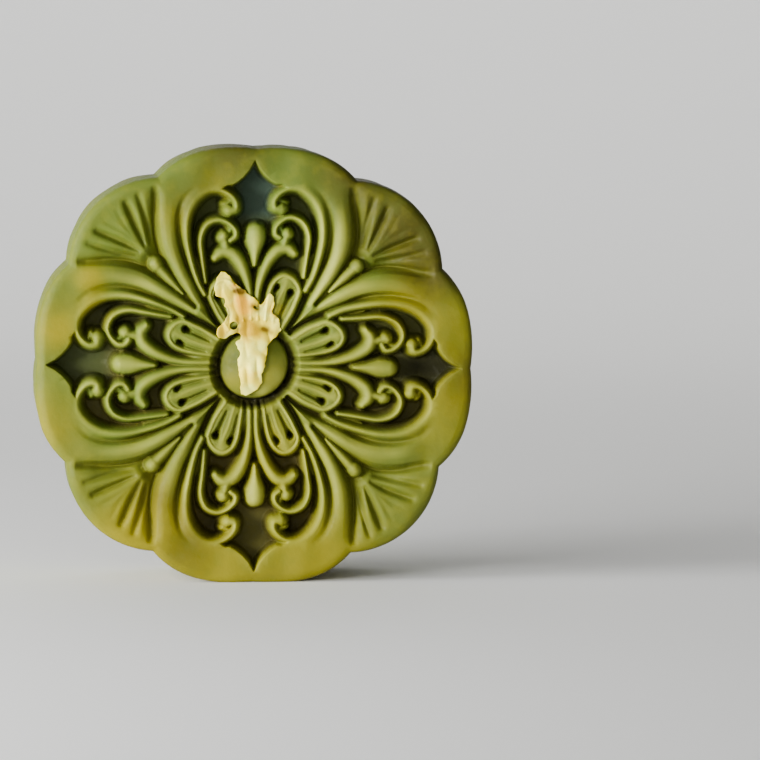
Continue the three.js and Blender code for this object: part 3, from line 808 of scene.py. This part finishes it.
# Tints of the foil, as [x, y, radius, share]: the palest is also a painted highlight, and shade is painted
# shade in its folds and dents
leafTints = {
    "paleAndHighlight": [[-1.5, 1.5, 1.8, 1], [-1.2, -3.6, 1.2, 0.8], [-4.9, 12.4, 1.1, 0.7], [2.2, 10.2, 0.8, 0.8],
             [3, 6.2, 0.9, 0.7]],
    "peach": [[-1.8, 9.2, 1.2, 1], [-2.4, 10, 0.9, 0.7], [-3.2, 11.9, 0.6, 0.8], [-1.7, 7.9, 1, 0.8],
              [-5, 4.9, 0.9, 0.4], [-0.4, -1.2, 0.9, 0.3], [-1.2, 4, 0.7, 0.4]],
    "golden": [[-1.4, 6.5, 1, 1], [-0.3, 5.5, 1.1, 1], [-1.3, 5.1, 0.9, 1], [0.5, 4.8, 0.9, 0.5],
               [-2.6, 7, 0.8, 0.7], [-0.8, 8.8, 0.6, 0.8], [2.9, 7.9, 0.7, 0.8], [2, 8.4, 0.7, 0.4],
               [-2, 5, 0.7, 0.7], [-4.6, 7, 0.6, 0.6], [-5.2, 10.2, 0.5, 0.4], [-3.6, 8.8, 0.7, 0.5]],
    "shade": [[1.1, 5.5, 0.5, 0.9], [1.8, 5.3, 0.6, 0.9], [-0.5, 9, 0.4, 0.7], [0.2, 8.6, 0.6, 1],
              [-3.2, 11.1, 0.4, 0.8], [-2.6, 11.1, 0.6, 1], [-1.9, 11, 0.6, 0.9], [2.5, 4.9, 0.4, 0.5],
              [0.7, 2, 0.7, 0.15], [-4.2, 7.6, 0.5, 0.5], [-2.7, 5.2, 0.5, 0.4]],
}
leafEdge = waves(11, 24, 0.7, 2.4)
leafFolds = waves(12, 20, 2.2, 7)


def leafShape(x, y):
    # distance inside the leaf's edge, negative outside it
    outline = np.array(leaf["outline"])
    closed = curveThrough(np.vstack([outline, outline[:1]]), 5)
    distance, _, _ = nearestOn(closed, x, y, 6)
    inside = np.where(insideOf(closed[:-1], x, y), distance, -distance)
    inside = inside + leaf["ragged"] * leafEdge(x, y)
    for holeX, holeY, size in leaf["holes"]:
        inside = np.minimum(inside, np.hypot(x - holeX, y - holeY) - size)
    return inside


def buildLeaf():
    step = leaf["step"]
    x, y = np.meshgrid(np.arange(*leaf["spanX"], step), np.arange(*leaf["spanY"], step), indexing="ij")
    shape = leafShape(x, y)
    cell = (shape[:-1, :-1] + shape[1:, :-1] + shape[:-1, 1:] + shape[1:, 1:]) / 4 > 0
    pad = np.pad(cell, 1).astype(int)
    around = pad[:-1, :-1] + pad[1:, :-1] + pad[:-1, 1:] + pad[1:, 1:]

    # the corners along the edge move onto it
    slopeX, slopeY = np.gradient(shape, step)
    slope = np.maximum(np.hypot(slopeX, slopeY), 0.4)
    border = (around > 0) & (around < 4)
    shift = np.where(border, np.clip(shape / slope, -0.6 * step, 0.6 * step), 0)
    x, y = x - shift * slopeX / slope, y - shift * slopeY / slope

    # it lies on the crests, sags between them and is crumpled all over
    high = gridDepth  # grows into a smooth sheet over the crests
    for _ in range(16):
        high = np.maximum(high, blurred(high, 3))
    low, high = onGrid(blurred(gridDepth, 3), x, y), onGrid(blurred(high, 2), x, y)
    sheet = np.maximum(leaf["sag"] * low + (1 - leaf["sag"]) * high, onGrid(gridDepth, x, y))
    z = sheet + leaf["lift"] + leaf["crumple"] * np.abs(leafFolds(1.5 * x, 0.5 * y))
    z = cake["crest"] + np.minimum(z, leaf["top"])
    keep = around > 0
    index = np.cumsum(keep).reshape(x.shape) - 1
    i, j = np.nonzero(cell)
    quads = np.stack([index[i, j], index[i + 1, j], index[i + 1, j + 1], index[i, j + 1]], 1)
    triangles = np.vstack([quads[:, [0, 1, 2]], quads[:, [0, 2, 3]]])
    return np.stack([x[keep], y[keep], z[keep]], 1), triangles


leafPoints, leafTriangles = buildLeaf()
leafPiece = show(meshFrom("leafSheet", upright(leafPoints), leafTriangles), "goldLeaf")
solidify = leafPiece.modifiers.new("thickness", "SOLIDIFY")
solidify.thickness = leaf["thickness"] * mm
solidify.offset = 0
applyModifiers(leafPiece)
leafPiece.data.shade_smooth()
standing = pointsOf(leafPiece.data) / mm
leafX, leafY = rolled(standing[:, 0], standing[:, 2] - cake["hubHeight"], -cake["roll"])
for tint, patches in leafTints.items():
    writeMask(leafPiece.data, tint, tintMask(patches, leafX, leafY))
print("gold leaf", len(leafPiece.data.polygons), "faces")


def newMaterial(name):
    material = bpy.data.materials.new(name)
    material.use_nodes = True
    tree = material.node_tree
    tree.nodes.clear()
    shader = tree.nodes.new("ShaderNodeBsdfPrincipled")
    output = tree.nodes.new("ShaderNodeOutputMaterial")
    tree.links.new(shader.outputs[0], output.inputs["Surface"])
    return material, tree, shader


def mixColour(tree, factor, first, second):
    mix = tree.nodes.new("ShaderNodeMix")
    mix.data_type = "RGBA"
    for socket, value in ((mix.inputs[0], factor), (mix.inputs[6], first), (mix.inputs[7], second)):
        if isinstance(value, bpy.types.NodeSocket):
            tree.links.new(value, socket)
        else:
            socket.default_value = (*value, 1)
    return mix.outputs[2]


def maths(tree, kind, first, second):
    node = tree.nodes.new("ShaderNodeMath")
    node.operation = kind
    for socket, value in zip(node.inputs, (first, second)):
        if isinstance(value, bpy.types.NodeSocket):
            tree.links.new(value, socket)
        else:
            socket.default_value = value
    return node.outputs[0]


def remap(tree, value, low, high, toLow=0.0, toHigh=1.0):
    node = tree.nodes.new("ShaderNodeMapRange")
    node.interpolation_type = "SMOOTHSTEP"
    tree.links.new(value, node.inputs["Value"])
    for name, number in (("From Min", low), ("From Max", high), ("To Min", toLow), ("To Max", toHigh)):
        node.inputs[name].default_value = number
    return node.outputs["Result"]


def maskOf(tree, name):
    node = tree.nodes.new("ShaderNodeAttribute")
    node.attribute_name = name
    return node.outputs["Fac"]


def layOver(tree, colour, name, tone, amount):
    # a tone laid over a colour where a mask says
    return mixColour(tree, maths(tree, "MULTIPLY", maskOf(tree, name), amount), colour, tone)


def makeGrainGroup():
    # cloudy patches, smaller mottling, fine grain and a bump height, all in object space
    group = bpy.data.node_groups.new("doughGrain", "ShaderNodeTree")
    for name in ("Patch Scale", "Grain Scale"):
        group.interface.new_socket(name=name, in_out="INPUT", socket_type="NodeSocketFloat")
    for name in ("Patches", "Mottling", "Grain", "Height"):
        group.interface.new_socket(name=name, in_out="OUTPUT", socket_type="NodeSocketFloat")
    entry, leave = group.nodes.new("NodeGroupInput"), group.nodes.new("NodeGroupOutput")
    place = group.nodes.new("ShaderNodeTexCoord")

    def noise(scale, detail, roughness):
        node = group.nodes.new("ShaderNodeTexNoise")
        node.inputs["Detail"].default_value = detail
        node.inputs["Roughness"].default_value = roughness
        group.links.new(place.outputs["Object"], node.inputs["Vector"])
        group.links.new(scale, node.inputs["Scale"])
        return node.outputs["Fac"]

    patches = noise(entry.outputs["Patch Scale"], 3.0, 0.5)
    grain = noise(entry.outputs["Grain Scale"], 3.0, 0.6)
    coarse = noise(maths(group, "MULTIPLY", entry.outputs["Grain Scale"], 0.3), 2.0, 0.5)
    fineShare, coarseShare = maths(group, "MULTIPLY", grain, 0.4), maths(group, "MULTIPLY", coarse, 0.6)
    height = maths(group, "ADD", fineShare, coarseShare)
    for value, name in ((patches, "Patches"), (coarse, "Mottling"), (grain, "Grain"), (height, "Height")):
        group.links.new(value, leave.inputs[name])
    return group


def grainFor(tree, shader, look):
    # places the grain group, with its roughness and small bumps
    grain = tree.nodes.new("ShaderNodeGroup")
    grain.node_tree = grainGroup
    grain.inputs["Patch Scale"].default_value = look["patchScale"]
    grain.inputs["Grain Scale"].default_value = look["grainScale"]
    rough = remap(tree, grain.outputs["Grain"], 0.35, 0.65, *look["roughness"])
    tree.links.new(rough, shader.inputs["Roughness"])
    bump = tree.nodes.new("ShaderNodeBump")
    bump.inputs["Distance"].default_value = look["bumpHeight"]
    bump.inputs["Strength"].default_value = look["bumpStrength"]
    tree.links.new(grain.outputs["Height"], bump.inputs["Height"])
    tree.links.new(bump.outputs["Normal"], shader.inputs["Normal"])
    return grain


grainGroup = makeGrainGroup()

dough = {
    "body": (0.117, 0.131, 0.011),
    # the crests' tone: paler dough, and a painted highlight along the ridges
    "crest": (0.38, 0.40, 0.055),
    "green": (0.07, 0.107, 0.014),
    "paleGreen": (0.11, 0.18, 0.018),
    "mustard": (0.24, 0.20, 0.003),
    # browner dough, and painted shade on the rims that face away from the light
    "brownAndShade": (0.05, 0.042, 0.002),
    # a painted highlight
    "light": (0.50, 0.52, 0.08),
    # painted shade, laid over the deepest hollows last
    "paintedShade": (0.012, 0.011, 0.002),
    # painted shade in the crevices
    "creviceShade": (0.12, 0.12, 0.010),
    # painted shade in the deep hollows, greener towards the top and browner towards the foot
    "pitTop": (0.068, 0.082, 0.018),
    "pitFoot": (0.092, 0.072, 0.011),
    # the floors of the petals' open tips: bluish towards the top as a painted reflection, greener at
    # mid-height, browner towards the foot
    "diamondTop": (0.05, 0.08, 0.055),
    "diamondSide": (0.054, 0.078, 0.024),
    "diamondFoot": (0.095, 0.085, 0.015),
    # what is laid over the body in turn: the mask, the tone and how much of it
    "layers": [("green", "green", 0.8), ("mustard", "mustard", 0.85), ("brownAndShade", "brownAndShade", 0.8),
               ("crest", "crest", 0.6), ("green", "paleGreen", 0.45), ("mustard", "mustard", 0.7),
               ("brownAndShade", "brownAndShade", 0.55), ("light", "light", 0.7)],
    # how much of the painted shade is laid on
    "paintedShadeShare": 0.9,
    "patchShare": 0.4,  # of green in cloudy patches
    "mottleShare": 0.13,
    # a tone, and the values of the mottling between which it sets in
    "mottles": [((0.26, 0.25, 0.010), 0.44, 0.74), ((0.09, 0.14, 0.02), 0.54, 0.28)],
    "tones": (0.004, 0.060),  # heights in metres between which the hollows' tones change; towards the top the open tips' floors turn bluish, a painted reflection
    "patchScale": 90.0,
    "grainScale": 1800.0,
    "roughness": (0.5, 0.7),
    "specular": 0.16,
    "bumpHeight": 0.00012,  # metres
    "bumpStrength": 0.6,
}


def makeDough():
    material, tree, shader = newMaterial("matchaDough")
    grain = grainFor(tree, shader, dough)
    shader.inputs["Specular IOR Level"].default_value = dough["specular"]
    place = tree.nodes.new("ShaderNodeTexCoord")
    split = tree.nodes.new("ShaderNodeSeparateXYZ")
    tree.links.new(place.outputs["Object"], split.inputs[0])
    height = remap(tree, split.outputs["Z"], *dough["tones"])

    patches = maths(tree, "MULTIPLY", remap(tree, grain.outputs["Patches"], 0.38, 0.62), dough["patchShare"])
    colour = mixColour(tree, patches, dough["body"], dough["green"])
    # tones laid on in turn, among them painted highlights on the crests and elsewhere, and browner patches
    # that are partly painted shade
    for name, tone, amount in dough["layers"]:
        colour = layOver(tree, colour, name, dough[tone], amount)
    for tone, low, high in dough["mottles"]:
        mottled = remap(tree, grain.outputs["Mottling"], low, high, 0.0, dough["mottleShare"])
        colour = mixColour(tree, mottled, colour, tone)
    # painted shade in the crevices
    colour = mixColour(tree, maskOf(tree, "creviceShade"), colour, dough["creviceShade"])
    # painted shade in the deep hollows, its tone changing with height
    pitShade = mixColour(tree, height, dough["pitFoot"], dough["pitTop"])
    colour = mixColour(tree, maskOf(tree, "pitShade"), colour, pitShade)
    # the petals' open tips get their own floor tones, bluish towards the top as a painted reflection
    diamond = mixColour(tree, remap(tree, height, 0.0, 0.5), dough["diamondFoot"], dough["diamondSide"])
    diamond = mixColour(tree, remap(tree, height, 0.5, 1.0), diamond, dough["diamondTop"])
    diamondFloor = maths(tree, "MULTIPLY", maskOf(tree, "pitShade"), maskOf(tree, "diamond"))
    colour = mixColour(tree, diamondFloor, colour, diamond)
    # painted shade over the deepest hollows
    colour = layOver(tree, colour, "paintedShade", dough["paintedShade"], dough["paintedShadeShare"])
    tree.links.new(colour, shader.inputs["Base Color"])
    return material


goldLeaf = {
    "cream": (1.0, 0.78, 0.03),
    # paler foil in cloudy patches, and a painted highlight where its tint lies
    "paleAndHighlight": (1.0, 0.97, 0.16),
    "peach": (0.88, 0.38, 0.0),
    "golden": (0.60, 0.36, 0.0),
    # painted shade in the folds and dents
    "shade": (0.10, 0.045, 0.0),
    "layers": [("paleAndHighlight", 0.8), ("peach", 0.9), ("golden", 1.0), ("shade", 0.95)],
    "patchScale": 420.0,
    "grainScale": 2600.0,
    "roughness": (0.4, 0.6),
    "metallic": 0.1,
    "specular": 0.15,
    "bumpHeight": 0.0002,  # metres
    "bumpStrength": 0.5,
}


def makeGold():
    material, tree, shader = newMaterial("goldLeafFoil")
    grain = grainFor(tree, shader, goldLeaf)
    shader.inputs["Metallic"].default_value = goldLeaf["metallic"]
    shader.inputs["Specular IOR Level"].default_value = goldLeaf["specular"]
    patches = remap(tree, grain.outputs["Patches"], 0.42, 0.62)
    colour = mixColour(tree, patches, goldLeaf["cream"], goldLeaf["paleAndHighlight"])
    # laid over in turn: painted highlights, peach and golden foil, and painted shade in the folds
    for tint, amount in goldLeaf["layers"]:
        colour = layOver(tree, colour, tint, goldLeaf[tint], amount)
    tree.links.new(colour, shader.inputs["Base Color"])
    return material


cakePiece.data.materials.append(makeDough())
leafPiece.data.materials.append(makeGold())
for piece, slotName, nodes in (
    (cakePiece, "dough", ["cake"]),
    (leafPiece, "gold_leaf", ["gold_leaf_hub", "gold_leaf_petal"]),
):
    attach(piece, "root")
    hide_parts(*nodes)
print("materials made")

# Floor and lights, in metres and watts
studio = {
    "floorColour": (0.9, 0.9, 0.88),
    "floorRoughness": 0.9,
    "floorFront": -1.6,
    "floorBack": 0.5,
    "floorHalf": 3.0,  # half the floor's width
    "sweep": 0.6,  # radius of the curve from the floor to the backdrop
    "backdropTop": 2.4,
    "world": 0.13,
}
lights = {
    "keyLight": {"place": (-0.31, -0.25, 0.05), "size": (0.16, 0.08), "power": 2.6},
    "leftLight": {"place": (-0.42, -0.11, 0.15), "size": (0.25, 0.25), "power": 3.2},
    "frontLight": {"place": (-0.5, -1.2, 0.25), "size": (1.0, 1.0), "power": 6},
    "backdropLight": {"place": (0, 0.4, 1.0), "target": (0, 1.1, 0.75), "size": (1.8, 0.3), "power": 14},
}


def makeFloor():
    # a pale floor that curves up into a backdrop behind the cake
    back, sweep = studio["floorBack"], studio["sweep"]
    profile = [(studio["floorFront"], 0.0), (back, 0.0)]
    for turn in np.radians(np.arange(10, 91, 10)):
        profile.append((back + sweep * math.sin(turn), sweep - sweep * math.cos(turn)))
    profile.append((back + sweep, studio["backdropTop"]))
    points, faces = [], []
    for y, z in profile:
        points += [(-studio["floorHalf"], y, z), (studio["floorHalf"], y, z)]
    for i in range(len(profile) - 1):
        faces.append((2 * i, 2 * i + 1, 2 * i + 3, 2 * i + 2))
    mesh = bpy.data.meshes.new("studioFloor")
    mesh.from_pydata(points, [], faces)
    mesh.shade_smooth()
    floor = show(mesh, "studioFloor")
    material, tree, shader = newMaterial("paleFloor")
    shader.inputs["Base Color"].default_value = (*studio["floorColour"], 1)
    shader.inputs["Roughness"].default_value = studio["floorRoughness"]
    mesh.materials.append(material)


def aimed(thing, place, target):
    thing.location = place
    direction = Vector(target) - Vector(place)
    thing.rotation_euler = direction.to_track_quat("-Z", "Y").to_euler()


def makeLight(name, light):
    data = bpy.data.lights.new(name, "AREA")
    data.shape = "RECTANGLE"
    data.size, data.size_y = light["size"]
    data.energy = light["power"]
    lamp = bpy.data.objects.new(name, data)
    bpy.context.scene.collection.objects.link(lamp)
    aimed(lamp, light["place"], light.get("target", (0, 0, 0.03)))


def makeWorld():
    world = bpy.data.worlds.new("studioWorld")
    bpy.context.scene.world = world
    world.use_nodes = True
    background = world.node_tree.nodes["Background"]
    background.inputs["Color"].default_value = (1, 1, 1, 1)
    background.inputs["Strength"].default_value = studio["world"]


camera = {
    "azimuth": -5.0,  # degrees, to the left of the face's normal
    "elevation": 4.0,  # degrees
    "distance": 0.62,  # metres
    "sensorWidth": 36,
    "frameWidth": 113.0,  # millimetres that the picture spans at the cake's face
    "hubPixel": (254.9, 366.0),
    "pictureSize": 760,
}


def makeCamera():
    data = bpy.data.cameras.new("camera")
    data.sensor_width = camera["sensorWidth"]
    data.lens = camera["sensorWidth"] * camera["distance"] / (camera["frameWidth"] * mm)
    data.clip_end = 20
    view = bpy.data.objects.new("camera", data)
    bpy.context.scene.collection.objects.link(view)
    side, up = math.radians(camera["azimuth"]), math.radians(camera["elevation"])
    toCamera = Vector((math.sin(side) * math.cos(up), -math.cos(side) * math.cos(up), math.sin(up)))
    hubPlace = Vector((0, -(cake["crest"] - cake["dish"]) * mm, cake["hubHeight"] * mm))
    right = Vector((math.cos(side), math.sin(side), 0))
    above = right.cross(-toCamera)
    scale = camera["frameWidth"] * mm / camera["pictureSize"]
    half = camera["pictureSize"] / 2
    aim = hubPlace + right * (half - camera["hubPixel"][0]) * scale
    aim -= above * (half - camera["hubPixel"][1]) * scale
    aimed(view, aim + toCamera * camera["distance"], aim)
    bpy.context.scene.camera = view


makeFloor()
for name, light in lights.items():
    makeLight(name, light)
makeWorld()
makeCamera()
print("camera and lights set")
